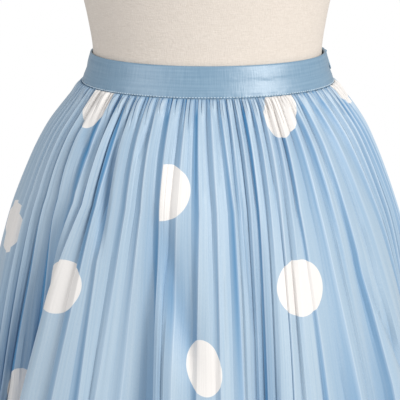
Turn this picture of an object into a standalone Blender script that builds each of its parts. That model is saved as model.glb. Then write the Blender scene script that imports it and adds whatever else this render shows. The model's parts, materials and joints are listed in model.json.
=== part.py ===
"""Pleated maxi skirt on a limbless dress form.

Metres, +Z up. The front faces -Y, so the wearer's left side is at +X.
The origin is on the floor, under the middle of the form's round foot.
"""

import math
from collections import namedtuple

import bmesh
import bpy
import numpy as np
from mathutils import Matrix, Vector

# Gaps and walls
SEAM_GAP = 0.0003
CLOTH_WALL = 0.0022
BAND_WALL = 0.0022

# Heights above the floor
FOOT_HEIGHT = 0.010
HUB_TOP = 0.045
FORM_BOTTOM = 0.800
BAND_BOTTOM = 1.020
BAND_TOP = 1.0505
NECK_TOP = 1.500

# Skirt: both side seams lie a little behind the sides
SKIRT_DROP = 0.920
FRONT_PLEATS = 44
BACK_PLEATS = 32
SEAM_BEHIND_SIDE = math.radians(13)

# A pleat's section, in shares of its pitch and depth: the long face rises to the crest, with a
# bulge at its middle, and the short face falls back over the rest of the pitch.
CREST_SHARE = 0.60
FACE_SHARE = 0.30
FACE_BULGE = 0.10

# Steps to each side of a point, along a ring and round the axis, that give its direction
NORMAL_REACH = 0.003
NORMAL_TURN = 0.01

# A section through the cloth at one height: how far it reaches to each side of the axis.
Section = namedtuple("Section", "at left right front back")

# Envelope of the skirt's cloth, the outer reach of its crests, at each drop below the band.
ENVELOPE = (
    Section(0.0000, 0.1282, 0.1310, 0.0995, 0.1015),
    Section(0.0110, 0.1365, 0.1400, 0.1080, 0.1110),
    Section(0.0215, 0.1450, 0.1485, 0.1150, 0.1190),
    Section(0.0420, 0.1608, 0.1622, 0.1270, 0.1330),
    Section(0.0630, 0.1730, 0.1724, 0.1370, 0.1450),
    Section(0.0840, 0.1828, 0.1811, 0.1460, 0.1550),
    Section(0.1250, 0.1995, 0.1958, 0.1610, 0.1720),
    Section(0.1650, 0.2130, 0.2080, 0.1740, 0.1850),
    Section(0.2500, 0.2390, 0.2335, 0.2010, 0.2120),
    Section(0.4000, 0.2800, 0.2730, 0.2430, 0.2520),
    Section(0.6000, 0.3250, 0.3180, 0.2890, 0.2970),
    Section(0.9200, 0.3850, 0.3780, 0.3500, 0.3560),
)

# Outer face of the waistband, at each height above its lower edge.
BAND = (
    Section(0.0000, 0.1268, 0.1298, 0.0985, 0.1005),
    Section(0.0069, 0.1246, 0.1276, 0.0960, 0.0975),
    Section(0.0134, 0.1220, 0.1250, 0.0938, 0.0945),
    Section(0.0217, 0.1202, 0.1234, 0.0915, 0.0915),
    Section(0.0305, 0.1176, 0.1206, 0.0890, 0.0885),
)
BAND_COLUMNS = 80

# Dress form, at each height above the floor.
FORM = (
    Section(0.800, 0.1320, 0.1320, 0.0780, 0.0860),
    Section(0.806, 0.1480, 0.1480, 0.0920, 0.1010),
    Section(0.830, 0.1620, 0.1620, 0.1020, 0.1150),
    Section(0.880, 0.1690, 0.1690, 0.1075, 0.1220),
    Section(0.950, 0.1560, 0.1560, 0.1025, 0.1120),
    Section(1.000, 0.1290, 0.1305, 0.0950, 0.0980),
    Section(1.034, 0.1168, 0.1183, 0.0887, 0.0882),
    Section(1.050, 0.1151, 0.1168, 0.0862, 0.0856),
    Section(1.084, 0.1196, 0.1209, 0.0905, 0.0885),
    Section(1.104, 0.1238, 0.1247, 0.0945, 0.0910),
    Section(1.160, 0.1370, 0.1370, 0.1080, 0.0960),
    Section(1.255, 0.1540, 0.1540, 0.1240, 0.1015),
    Section(1.335, 0.1660, 0.1660, 0.1120, 0.1010),
    Section(1.385, 0.1680, 0.1680, 0.0900, 0.0930),
    Section(1.412, 0.1480, 0.1480, 0.0760, 0.0840),
    Section(1.430, 0.1080, 0.1080, 0.0670, 0.0750),
    Section(1.446, 0.0740, 0.0740, 0.0600, 0.0650),
    Section(1.466, 0.0590, 0.0590, 0.0550, 0.0580),
    Section(1.500, 0.0540, 0.0540, 0.0530, 0.0540),
)
FORM_RINGS = (
    0.800, 0.806, 0.818, 0.840, 0.880, 0.920, 0.960, 0.995, 1.020, 1.036, 1.050, 1.067, 1.084,
    1.110, 1.160, 1.210, 1.255, 1.300, 1.345, 1.385, 1.402, 1.416, 1.430, 1.446, 1.466, 1.500,
)
FORM_COLUMNS = 40

# Depth of one pleat, crest to valley, at each drop.
PleatDepth = namedtuple("PleatDepth", "at depth")
PLEAT_DEPTH = (
    PleatDepth(0.000, 0.0030),
    PleatDepth(0.012, 0.0052),
    PleatDepth(0.060, 0.0064),
    PleatDepth(0.250, 0.0068),
    PleatDepth(0.500, 0.0085),
    PleatDepth(0.920, 0.0110),
)

# Large folds that fall from the hip. A bearing is in degrees from the centre front, positive to
# the wearer's left; depth is at the hem; lean is how far the fold has turned at LEAN_DROP.
Fold = namedtuple("Fold", "bearing half_width depth start lean")
LEAN_DROP = 0.35
FOLDS = (
    Fold(-152, 8, 0.044, 0.15, 3),
    Fold(-126, 9, 0.052, 0.12, -2),
    Fold(-102, 8, 0.040, 0.14, 2),
    Fold(-76, 9, 0.050, 0.12, -2),
    Fold(-47, 9, 0.056, 0.05, -6),
    Fold(-19, 8, 0.040, 0.05, 3),
    Fold(14, 4, 0.022, 0.04, 0),
    Fold(45, 8, 0.040, 0.10, 3),
    Fold(73, 9, 0.050, 0.12, 2),
    Fold(100, 9, 0.044, 0.14, 3),
    Fold(127, 8, 0.052, 0.12, -3),
    Fold(152, 9, 0.046, 0.15, 2),
    Fold(178, 9, 0.052, 0.12, -2),
)

# Drops of the rings that each panel's wall runs through.
RING_DROPS = (0.0, 0.008, 0.024, 0.050, 0.090, 0.145, 0.220, 0.325, 0.475, 0.680, 0.920)

# Stand
POLE_RADIUS = 0.0140
FOOT_RADIUS = 0.170
FLANGE_RADIUS = 0.055
FLANGE_HEIGHT = 0.014
CAP_HEIGHT = 0.022
CAP_OVERHANG = 0.003
TURNED_STEPS = 40

# Zip in the wearer's left side seam
ZIP_LENGTH_BELOW_BAND = 0.170
TAPE_WIDTH = 0.0050
TAPE_WALL = 0.0010
TAPE_CLEARANCE = 0.0005
SLIDER_WIDTH = 0.0050
SLIDER_LENGTH = 0.0080
SLIDER_DEPTH = 0.0018
SLIDER_DOWN = 0.0050
BRIDGE_WIDTH = 0.0014
BRIDGE_BAR = 0.0008
BRIDGE_INSIDE = 0.0009
BRIDGE_SUNK = 0.0003
ROD_HEIGHT = SEAM_GAP + SLIDER_DEPTH + BRIDGE_INSIDE
PULL_ROD_RADIUS = 0.0005
PULL_LEG_WIDTH = 0.0011
PULL_LEG_GAP = 0.0002
PULL_LEG_LENGTH = 0.0045
PULL_LENGTH = 0.0200
PULL_WALL = 0.0008
PULL_HALF_WIDTH = 0.0034
PULL_END_STEPS = 12


def clear_scene():
    for obj in list(bpy.data.objects):
        bpy.data.objects.remove(obj)


def material(name, colour, roughness, metallic=0.0):
    made = bpy.data.materials.new(name)
    made.use_nodes = True
    shader = made.node_tree.nodes["Principled BSDF"]
    shader.inputs["Base Color"].default_value = (*colour, 1.0)
    shader.inputs["Roughness"].default_value = roughness
    shader.inputs["Metallic"].default_value = metallic
    return made


def add_solid(name, points, faces, finish, smooth_angle=None):
    mesh = bpy.data.meshes.new(name)
    mesh.from_pydata([tuple(map(float, p)) for p in points], [], faces)
    shape = bmesh.new()
    shape.from_mesh(mesh)
    bmesh.ops.recalc_face_normals(shape, faces=shape.faces)
    shape.to_mesh(mesh)
    shape.free()
    mesh.materials.append(finish)
    if smooth_angle is not None:
        mesh.shade_smooth()
        mesh.set_sharp_from_angle(angle=math.radians(smooth_angle))
    obj = bpy.data.objects.new(name, mesh)
    bpy.context.scene.collection.objects.link(obj)
    return obj


def smooth_read(rows, column, at):
    """A column's value at one place, on a smooth curve through the rows."""
    xs = [row.at for row in rows]
    ys = [getattr(row, column) for row in rows]
    if at <= xs[0]:
        return ys[0]
    if at >= xs[-1]:
        return ys[-1]
    slopes = [(ys[n + 1] - ys[n]) / (xs[n + 1] - xs[n]) for n in range(len(xs) - 1)]

    def tangent(n):
        before = slopes[max(n - 1, 0)]
        after = slopes[min(n, len(slopes) - 1)]
        return 0.0 if before * after < 0 else (before + after) / 2

    i = next(n for n in range(len(slopes)) if at <= xs[n + 1])
    span = xs[i + 1] - xs[i]
    t = (at - xs[i]) / span
    return (
        (2 * t**3 - 3 * t**2 + 1) * ys[i]
        + (t**3 - 2 * t**2 + t) * span * tangent(i)
        + (3 * t**2 - 2 * t**3) * ys[i + 1]
        + (t**3 - t**2) * span * tangent(i + 1)
    )


def reaches(rows, at):
    return [smooth_read(rows, side, at) for side in ("left", "right", "front", "back")]


def oval(angle, left, right, front, back):
    """A point of an oval with four reaches; angle 0 is +X and a quarter turn is the back, +Y."""
    x = (right if math.cos(angle) > 0 else left) * math.cos(angle)
    y = (back if math.sin(angle) > 0 else front) * math.sin(angle)
    return np.array((x, y))


def fold_depth(angle, drop):
    """How far the large folds draw the cloth inwards at one place."""
    bearing = math.degrees(angle) + 90
    total = 0.0
    for fold in FOLDS:
        grown = max(0.0, drop - fold.start) / (SKIRT_DROP - fold.start)
        centre = fold.bearing + fold.lean * min(1.0, drop / LEAN_DROP)
        away = (bearing - centre + 180) % 360 - 180
        total += fold.depth * grown * math.exp(-((away / fold.half_width) ** 2))
    return total


def envelope_point(angle, drop, sides):
    """A point of the skirt's folded envelope; sides are the envelope's reaches at this drop."""
    point = oval(angle, *sides)
    return point * (1 - fold_depth(angle, drop) / np.linalg.norm(point))


def pleat_profile(share):
    """Depth below the crests, as a share of the pleat's depth, at a share of its pitch."""
    if share > CREST_SHARE:
        return (share - CREST_SHARE) / (1 - CREST_SHARE)
    along = share / CREST_SHARE
    return 1 - along - FACE_BULGE * math.sin(math.pi * along)


def panel_columns(pleats):
    """Places along a panel, in pleats: valley, middle of the long face, and crest."""
    places = []
    for n in range(pleats):
        places += [n, n + FACE_SHARE, n + CREST_SHARE]
    return places + [pleats]


def outward_of(behind, ahead, near):
    """The unit normal of a step along a ring, on the side away from the axis."""
    tangent = (ahead - behind) / np.linalg.norm(ahead - behind)
    outward = np.array((tangent[1], -tangent[0]))
    return outward if outward @ near > 0 else -outward


def panel_ring(start, end, pleats, drop):
    """Outer and inner points of one ring of a panel, from one seam to the other."""
    steps = 12 * pleats
    angles = [start + (end - start) * n / steps for n in range(steps + 1)]
    sides = reaches(ENVELOPE, drop)
    line = np.array([envelope_point(a, drop, sides) for a in angles])
    lengths = np.concatenate(([0.0], np.cumsum(np.linalg.norm(np.diff(line, axis=0), axis=1))))
    depth = smooth_read(PLEAT_DEPTH, "depth", drop)
    z = BAND_BOTTOM - SEAM_GAP - drop

    def along(at):
        return np.array([np.interp(at, lengths, line[:, 0]), np.interp(at, lengths, line[:, 1])])

    outer, inner = [], []
    for place in panel_columns(pleats):
        at = SEAM_GAP + (lengths[-1] - 2 * SEAM_GAP) * place / pleats
        point = along(at)
        outward = outward_of(along(at - NORMAL_REACH), along(at + NORMAL_REACH), point)
        into = depth * pleat_profile(place % 1.0 if place < pleats else 1.0)
        outer.append((*(point - outward * into), z))
        inner.append((*(point - outward * (into + CLOTH_WALL)), z))
    return outer, inner


def add_wall(name, rings, finish):
    """A closed wall from rings of outer and inner points, each ring open at both ends."""
    count = len(rings[0][0])
    points = []
    for outer, inner in rings:
        points += outer + inner
    faces = []
    for r in range(len(rings) - 1):
        here, below = 2 * count * r, 2 * count * (r + 1)
        for side in (0, count):
            for c in range(count - 1):
                a = side + c
                faces.append((here + a, here + a + 1, below + a + 1, below + a))
        for c in (0, count - 1):
            faces.append((here + c, here + count + c, below + count + c, below + c))
    for r in (0, len(rings) - 1):
        ring = 2 * count * r
        for c in range(count - 1):
            faces.append((ring + c, ring + c + 1, ring + count + c + 1, ring + count + c))
    return add_solid(name, points, faces, finish)


def add_panel(name, start, end, pleats, finish):
    return add_wall(name, [panel_ring(start, end, pleats, drop) for drop in RING_DROPS], finish)


def band_point(angle, rise, inset):
    """A point of the waistband's outer face, drawn in by inset."""
    sides = [reach - inset for reach in reaches(BAND, rise)]
    return (*oval(angle, *sides), BAND_BOTTOM + rise)


def add_waistband(finish):
    half_slit = SEAM_GAP / BAND[0].right
    start = SEAM_BEHIND_SIDE + half_slit
    end = SEAM_BEHIND_SIDE + 2 * math.pi - half_slit
    angles = [start + (end - start) * n / BAND_COLUMNS for n in range(BAND_COLUMNS + 1)]
    rings = []
    for row in BAND:
        outer = [band_point(a, row.at, 0.0) for a in angles]
        inner = [band_point(a, row.at, BAND_WALL) for a in angles]
        rings.append((outer, inner))
    return add_wall("waistband", rings, finish)


def add_form_torso(finish):
    rings = []
    for z in FORM_RINGS:
        sides = reaches(FORM, z)
        angles = [2 * math.pi * n / FORM_COLUMNS for n in range(FORM_COLUMNS)]
        rings.append([(*oval(angle, *sides), z) for angle in angles])
    points = [p for ring in rings for p in ring]
    faces = []
    for r in range(len(rings) - 1):
        for n in range(FORM_COLUMNS):
            m = (n + 1) % FORM_COLUMNS
            here, above = r * FORM_COLUMNS, (r + 1) * FORM_COLUMNS
            faces.append((here + n, here + m, above + m, above + n))
    last = (len(rings) - 1) * FORM_COLUMNS
    faces.append(tuple(reversed(range(FORM_COLUMNS))))
    faces.append(tuple(range(last, last + FORM_COLUMNS)))
    return add_solid("form_torso", points, faces, finish, 50)


def add_turned(name, profile, finish, steps=TURNED_STEPS):
    """A round piece: profile runs from its foot to its top as (radius, height)."""
    points = []
    for radius, z in profile:
        for n in range(steps):
            angle = 2 * math.pi * n / steps
            points.append((radius * math.cos(angle), radius * math.sin(angle), z))
    faces = []
    for r in range(len(profile) - 1):
        for n in range(steps):
            m = (n + 1) % steps
            faces.append((r * steps + n, r * steps + m, (r + 1) * steps + m, (r + 1) * steps + n))
    last = (len(profile) - 1) * steps
    faces.append(tuple(reversed(range(steps))))
    faces.append(tuple(range(last, last + steps)))
    return add_solid(name, points, faces, finish, 40)


def add_stand(metal, wood):
    bevel = 0.0025
    hub_radius = 2 * POLE_RADIUS
    foot = [
        (FOOT_RADIUS - bevel, 0.0),
        (FOOT_RADIUS, bevel),
        (FOOT_RADIUS, FOOT_HEIGHT - bevel),
        (FOOT_RADIUS - bevel, FOOT_HEIGHT),
    ]
    add_turned("form_foot", foot, metal)
    hub_bottom = FOOT_HEIGHT + SEAM_GAP
    hub = [
        (hub_radius + 0.006, hub_bottom),
        (hub_radius + 0.006, hub_bottom + 0.004),
        (hub_radius, hub_bottom + 0.008),
        (hub_radius - 0.004, HUB_TOP),
    ]
    add_turned("form_hub", hub, metal, 32)
    flange_bottom = FORM_BOTTOM - SEAM_GAP - FLANGE_HEIGHT
    flange = [
        (POLE_RADIUS + 0.008, flange_bottom),
        (POLE_RADIUS + 0.012, flange_bottom + 0.004),
        (FLANGE_RADIUS, flange_bottom + 0.008),
        (FLANGE_RADIUS, FORM_BOTTOM - SEAM_GAP),
    ]
    add_turned("form_flange", flange, metal)
    pole = [
        (POLE_RADIUS, HUB_TOP + SEAM_GAP),
        (POLE_RADIUS, flange_bottom - SEAM_GAP),
    ]
    add_turned("form_pole", pole, metal, 32)
    cap_radius = FORM[-1].left + CAP_OVERHANG
    cap_bottom = NECK_TOP + SEAM_GAP
    cap = [
        (cap_radius - 0.003, cap_bottom),
        (cap_radius, cap_bottom + 0.004),
        (cap_radius, cap_bottom + 0.010),
        (cap_radius - 0.003, cap_bottom + 0.015),
        (cap_radius * 0.7, cap_bottom + 0.020),
        (cap_radius * 0.3, cap_bottom + CAP_HEIGHT),
    ]
    add_turned("form_neck_cap", cap, wood)


def seam_frame():
    """The place on the band over the zip's slider, and axes along the band, down it and out of it."""
    rise = BAND_TOP - BAND_BOTTOM - SLIDER_DOWN
    here = Vector(band_point(SEAM_BEHIND_SIDE, rise, 0.0))
    forward = Vector(band_point(SEAM_BEHIND_SIDE - NORMAL_TURN, rise, 0.0))
    backward = Vector(band_point(SEAM_BEHIND_SIDE + NORMAL_TURN, rise, 0.0))
    along = (forward - backward).normalized()
    down = (Vector(band_point(SEAM_BEHIND_SIDE, 0.0, 0.0)) - here).normalized()
    out = along.cross(down).normalized()
    return here, along, down, out


def box_solid(name, low, high, finish):
    points = [(x, y, z) for x in (low[0], high[0]) for y in (low[1], high[1]) for z in (low[2], high[2])]
    faces = [(0, 1, 3, 2), (4, 6, 7, 5), (0, 4, 5, 1), (2, 3, 7, 6), (0, 2, 6, 4), (1, 5, 7, 3)]
    return add_solid(name, points, faces, finish)


def arch(radius, foot, steps=8):
    """An upright arch of one radius, from its near foot over the top to its far foot."""
    turns = [math.pi * n / steps for n in range(steps + 1)]
    over = [(-radius * math.cos(a), radius * math.sin(a)) for a in turns]
    return [(-radius, foot)] + over + [(radius, foot)]


def join_by_boolean(base, other):
    union = base.modifiers.new("join", "BOOLEAN")
    union.operation = "UNION"
    union.object = other
    other.hide_render = True
    other.display_type = "WIRE"


def add_zip_tape(finish):
    """The closed coil and tape behind the seam, inside the band and the panels."""
    side = np.array(seam_frame()[1]) * TAPE_WIDTH / 2
    out = np.array((math.cos(SEAM_BEHIND_SIDE), math.sin(SEAM_BEHIND_SIDE), 0.0))
    centres = []
    for row in reversed(BAND[1:]):
        below_edge = TAPE_WALL if row is BAND[-1] else 0.0
        point = band_point(SEAM_BEHIND_SIDE, row.at, BAND_WALL + TAPE_CLEARANCE)
        centres.append(np.array(point) - np.array((0.0, 0.0, below_edge)))
    for drop in [d for d in RING_DROPS if d < ZIP_LENGTH_BELOW_BAND]:
        sides = reaches(ENVELOPE, drop)
        point = envelope_point(SEAM_BEHIND_SIDE, drop, sides)
        behind = envelope_point(SEAM_BEHIND_SIDE - NORMAL_TURN, drop, sides)
        ahead = envelope_point(SEAM_BEHIND_SIDE + NORMAL_TURN, drop, sides)
        depth = smooth_read(PLEAT_DEPTH, "depth", drop) + CLOTH_WALL + TAPE_CLEARANCE
        point = point - outward_of(behind, ahead, point) * depth
        centres.append(np.array((*point, BAND_BOTTOM - SEAM_GAP - drop)))
    rings = []
    for centre in centres:
        outer = [tuple(centre - side), tuple(centre), tuple(centre + side)]
        inner = [tuple(np.array(p) - out * TAPE_WALL) for p in outer]
        rings.append((outer, inner))
    return add_wall("zip_tape", rings, finish)


def add_slider(metal, place):
    """The slider's plate, with a bridge on it that the pull's rod turns in."""
    low = (-SLIDER_WIDTH / 2, -SLIDER_LENGTH / 2, SEAM_GAP - ROD_HEIGHT)
    high = (SLIDER_WIDTH / 2, SLIDER_LENGTH / 2, SEAM_GAP + SLIDER_DEPTH - ROD_HEIGHT)
    slider = box_solid("zip_slider", low, high, metal)
    slider.matrix_world = place
    foot = high[2] - BRIDGE_SUNK
    rings = []
    for x in (-BRIDGE_WIDTH / 2, BRIDGE_WIDTH / 2):
        outer = [(x, y, z) for y, z in arch(BRIDGE_INSIDE + BRIDGE_BAR, foot)]
        inner = [(x, y, z) for y, z in arch(BRIDGE_INSIDE, foot)]
        rings.append((outer, inner))
    bridge = add_wall("zip_bridge_cutter", rings, metal)
    bridge.matrix_world = place
    join_by_boolean(slider, bridge)


def add_pull(metal, place):
    """The pull tab: a rounded tongue with two legs, and the rod between them."""
    leg_in = BRIDGE_WIDTH / 2 + PULL_LEG_GAP
    leg_out = leg_in + PULL_LEG_WIDTH
    top = -PULL_ROD_RADIUS
    turns = [math.pi * n / PULL_END_STEPS for n in range(PULL_END_STEPS + 1)]
    centre = PULL_LENGTH - PULL_HALF_WIDTH
    outline = [(leg_out, top), (leg_out, PULL_LEG_LENGTH)]
    outline += [(PULL_HALF_WIDTH * math.cos(a), centre + PULL_HALF_WIDTH * math.sin(a)) for a in turns]
    outline += [(-leg_out, PULL_LEG_LENGTH), (-leg_out, top), (-leg_in, top)]
    outline += [(-leg_in, PULL_LEG_LENGTH), (leg_in, PULL_LEG_LENGTH), (leg_in, top)]
    count = len(outline)
    points = [(x, y, z) for z in (-PULL_WALL / 2, PULL_WALL / 2) for x, y in outline]
    faces = [tuple(reversed(range(count))), tuple(range(count, 2 * count))]
    faces += [(n, (n + 1) % count, count + (n + 1) % count, count + n) for n in range(count)]
    pull = add_solid("zip_pull", points, faces, metal)
    pull.matrix_world = place
    shape = bmesh.new()
    bmesh.ops.create_cone(
        shape,
        cap_ends=True,
        segments=12,
        radius1=PULL_ROD_RADIUS,
        radius2=PULL_ROD_RADIUS,
        depth=leg_in + leg_out,
        matrix=Matrix.Rotation(math.pi / 2, 4, "Y"),
    )
    rod = bpy.data.meshes.new("zip_rod_cutter")
    shape.to_mesh(rod)
    shape.free()
    rod_object = bpy.data.objects.new("zip_rod_cutter", rod)
    bpy.context.scene.collection.objects.link(rod_object)
    rod_object.matrix_world = place
    join_by_boolean(pull, rod_object)


def main():
    clear_scene()
    linen = material("linen", (0.80, 0.72, 0.63), 0.9)
    satin = material("satin", (0.36, 0.53, 0.70), 0.45)
    band_satin = material("band_satin", (0.26, 0.42, 0.55), 0.4)
    tape = material("tape", (0.30, 0.46, 0.60), 0.7)
    zip_metal = material("zip_metal", (0.55, 0.66, 0.75), 0.35, 1.0)
    stand_metal = material("stand_metal", (0.62, 0.62, 0.63), 0.3, 1.0)
    wood = material("wood", (0.55, 0.38, 0.22), 0.5)
    add_form_torso(linen)
    add_stand(stand_metal, wood)
    left_seam = SEAM_BEHIND_SIDE
    right_seam = -math.pi - SEAM_BEHIND_SIDE
    add_panel("skirt_front", left_seam, right_seam, FRONT_PLEATS, satin)
    add_panel("skirt_back", right_seam, left_seam - 2 * math.pi, BACK_PLEATS, satin)
    add_waistband(band_satin)
    add_zip_tape(tape)
    here, along, down, out = seam_frame()
    axes = Matrix((along, down, out)).transposed().to_4x4()
    hinge = Matrix.Translation(here + out * ROD_HEIGHT) @ axes
    add_slider(zip_metal, hinge)
    add_pull(zip_metal, hinge)


main()
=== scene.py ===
"""Looks of a pleated satin maxi skirt with large pale dots, on a limbless linen dress form.

Metres, +Z up, front at -Y. The skirt's sections and pleat counts are the part's own; its folds,
pleats and creases are finer here.
"""

import json
import math
from collections import namedtuple

import bmesh
import bpy
import numpy as np
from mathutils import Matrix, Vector

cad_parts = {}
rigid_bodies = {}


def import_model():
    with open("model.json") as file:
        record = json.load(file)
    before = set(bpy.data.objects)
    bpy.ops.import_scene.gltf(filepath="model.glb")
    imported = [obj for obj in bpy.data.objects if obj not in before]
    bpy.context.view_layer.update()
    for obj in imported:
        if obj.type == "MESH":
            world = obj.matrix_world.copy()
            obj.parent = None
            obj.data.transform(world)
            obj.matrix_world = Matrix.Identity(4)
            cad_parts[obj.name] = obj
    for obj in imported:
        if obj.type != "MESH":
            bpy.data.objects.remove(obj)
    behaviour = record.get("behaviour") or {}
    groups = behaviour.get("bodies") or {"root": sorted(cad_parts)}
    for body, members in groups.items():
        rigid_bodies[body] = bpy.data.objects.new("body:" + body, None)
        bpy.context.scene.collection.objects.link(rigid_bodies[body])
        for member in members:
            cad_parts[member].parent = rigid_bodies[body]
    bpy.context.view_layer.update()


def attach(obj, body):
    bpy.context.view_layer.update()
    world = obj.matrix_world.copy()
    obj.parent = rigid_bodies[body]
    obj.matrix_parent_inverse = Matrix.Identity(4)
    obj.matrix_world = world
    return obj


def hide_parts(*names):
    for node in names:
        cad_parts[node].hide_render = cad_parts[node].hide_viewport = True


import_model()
ROOT = "skirt_on_form"

# Heights above the floor, and gaps
SEAM_GAP = 0.0003
FORM_BOTTOM = 0.800
NECK_TOP = 1.500
BAND_BOTTOM = 1.020
BAND_TOP = 1.0505
SKIRT_DROP = 0.920
SEAM_BEHIND_SIDE = math.radians(13)
FULL_TURN = 2 * math.pi

# Camera: a long lens in front of the waist, looking down at it
CAMERA_AIM = Vector((-0.0066, 0.0, 0.8936))
CAMERA_DISTANCE = 1.830
CAMERA_ELEVATION = math.radians(14.7)
CAMERA_LENS = 158.8

# A section at one height: how far it reaches to each side of the axis.
Section = namedtuple("Section", "at left right front back")

# The skirt's envelope, the outer reach of its crests, at each drop below the band.
ENVELOPE = (
    Section(0.0000, 0.1282, 0.1310, 0.0995, 0.1015),
    Section(0.0110, 0.1365, 0.1400, 0.1080, 0.1110),
    Section(0.0215, 0.1450, 0.1485, 0.1150, 0.1190),
    Section(0.0420, 0.1608, 0.1622, 0.1270, 0.1330),
    Section(0.0630, 0.1730, 0.1724, 0.1370, 0.1450),
    Section(0.0840, 0.1828, 0.1811, 0.1460, 0.1550),
    Section(0.1250, 0.1995, 0.1958, 0.1610, 0.1720),
    Section(0.1650, 0.2130, 0.2080, 0.1740, 0.1850),
    Section(0.2500, 0.2390, 0.2335, 0.2010, 0.2120),
    Section(0.4000, 0.2800, 0.2730, 0.2430, 0.2520),
    Section(0.6000, 0.3250, 0.3180, 0.2890, 0.2970),
    Section(0.9200, 0.3850, 0.3780, 0.3500, 0.3560),
)

# The waistband's outer face, at each height above its lower edge.
BAND = (
    Section(0.0000, 0.1268, 0.1298, 0.0985, 0.1005),
    Section(0.0069, 0.1246, 0.1276, 0.0960, 0.0975),
    Section(0.0134, 0.1220, 0.1250, 0.0938, 0.0945),
    Section(0.0217, 0.1202, 0.1234, 0.0915, 0.0915),
    Section(0.0305, 0.1176, 0.1206, 0.0890, 0.0885),
)

# The dress form, at each height above the floor.
FORM = (
    Section(0.800, 0.1320, 0.1320, 0.0780, 0.0860),
    Section(0.806, 0.1480, 0.1480, 0.0920, 0.1010),
    Section(0.830, 0.1620, 0.1620, 0.1020, 0.1150),
    Section(0.880, 0.1690, 0.1690, 0.1075, 0.1220),
    Section(0.950, 0.1560, 0.1560, 0.1025, 0.1120),
    Section(1.000, 0.1290, 0.1305, 0.0950, 0.0980),
    Section(1.034, 0.1168, 0.1183, 0.0887, 0.0882),
    Section(1.050, 0.1151, 0.1168, 0.0862, 0.0856),
    Section(1.084, 0.1196, 0.1209, 0.0905, 0.0885),
    Section(1.104, 0.1238, 0.1247, 0.0945, 0.0910),
    Section(1.160, 0.1370, 0.1370, 0.1080, 0.0960),
    Section(1.255, 0.1540, 0.1540, 0.1240, 0.1015),
    Section(1.335, 0.1660, 0.1660, 0.1120, 0.1010),
    Section(1.385, 0.1680, 0.1680, 0.0900, 0.0930),
    Section(1.412, 0.1480, 0.1480, 0.0760, 0.0840),
    Section(1.430, 0.1080, 0.1080, 0.0670, 0.0750),
    Section(1.446, 0.0740, 0.0740, 0.0600, 0.0650),
    Section(1.466, 0.0590, 0.0590, 0.0550, 0.0580),
    Section(1.500, 0.0540, 0.0540, 0.0530, 0.0540),
)

# Depth of one pleat, crest to valley, at each drop.
PleatDepth = namedtuple("PleatDepth", "at depth")
PLEAT_DEPTH = (
    PleatDepth(0.000, 0.0034),
    PleatDepth(0.008, 0.0046),
    PleatDepth(0.060, 0.0050),
    PleatDepth(0.250, 0.0056),
    PleatDepth(0.500, 0.0078),
    PleatDepth(0.920, 0.0108),
)

# One pleat's section in shares of its pitch and of its depth below the crest: a long flat face
# rises from the valley to the pressed crest, and a short one falls to the next valley. Under the
# band, at gathered, a small pucker stands in each of the two. The fourth column is the highlight
# painted along the crest; tone and the last column are the shade painted on the face from this
# point to the next, on the pleat and where it is gathered.
PleatPoint = namedtuple("PleatPoint", "share into gathered pressed tone gathered_tone")
CREST_SHARE = 0.60
PLEAT = (
    PleatPoint(0.000, 1.00, 1.10, 0.0, 0.25, 1.20),
    PleatPoint(0.030, 0.97, 0.80, 0.0, 0.10, 0.10),
    PleatPoint(0.200, 0.66, 0.10, 0.0, 0.00, 0.10),
    PleatPoint(0.320, 0.46, 0.30, 0.0, 0.00, 1.00),
    PleatPoint(0.390, 0.34, 1.25, 0.0, 0.00, 1.50),
    PleatPoint(0.460, 0.22, 0.25, 0.0, 0.00, 0.10),
    PleatPoint(0.575, 0.03, 0.03, 0.2, 0.00, 0.00),
    PleatPoint(0.600, 0.00, 0.05, 1.0, 1.10, 0.60),
    PleatPoint(0.615, 0.03, 0.30, 0.6, 1.05, 1.40),
    PleatPoint(0.700, 0.26, 1.00, 0.0, 0.95, 0.60),
    PleatPoint(0.790, 0.50, 0.15, 0.0, 0.80, 0.10),
    PleatPoint(0.870, 0.69, 0.60, 0.0, 0.60, 1.00),
)
CREST_COLUMN = 7

# Large folds: a bearing is in degrees from the centre front, positive to the wearer's left. Each
# falls away over `before` degrees and rises again over `after`; depth is at the hem, and lean is
# how far the fold has turned at LEAN_DROP.
Fold = namedtuple("Fold", "bearing before after depth start lean")
LEAN_DROP = 0.30
SHUT_DEPTH = 0.020
FOLD_RIPE = 0.30
FOLD_SUDDEN = 0.45
FOLDS = (
    Fold(-150, 11, 7, 0.044, 0.15, 3),
    Fold(-124, 12, 7, 0.052, 0.12, -2),
    Fold(-101, 10, 7, 0.040, 0.14, 2),
    Fold(-79, 10, 6, 0.046, 0.12, -2),
    Fold(-52.5, 10, 4, 0.064, 0.07, -7),
    Fold(-21, 14, 3.5, 0.038, 0.05, 3),
    Fold(-6, 5, 3, 0.020, 0.18, 1),
    Fold(18, 5, 3, 0.026, 0.02, -3),
    Fold(37, 9, 6, 0.017, 0.11, 0),
    Fold(49, 5, 3, 0.025, 0.09, 2),
    Fold(75, 11, 6, 0.050, 0.12, 2),
    Fold(99, 11, 8, 0.044, 0.14, 3),
    Fold(125, 12, 7, 0.052, 0.12, -3),
    Fold(150, 10, 7, 0.046, 0.15, 2),
    Fold(178, 11, 7, 0.050, 0.12, -2),
)

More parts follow.
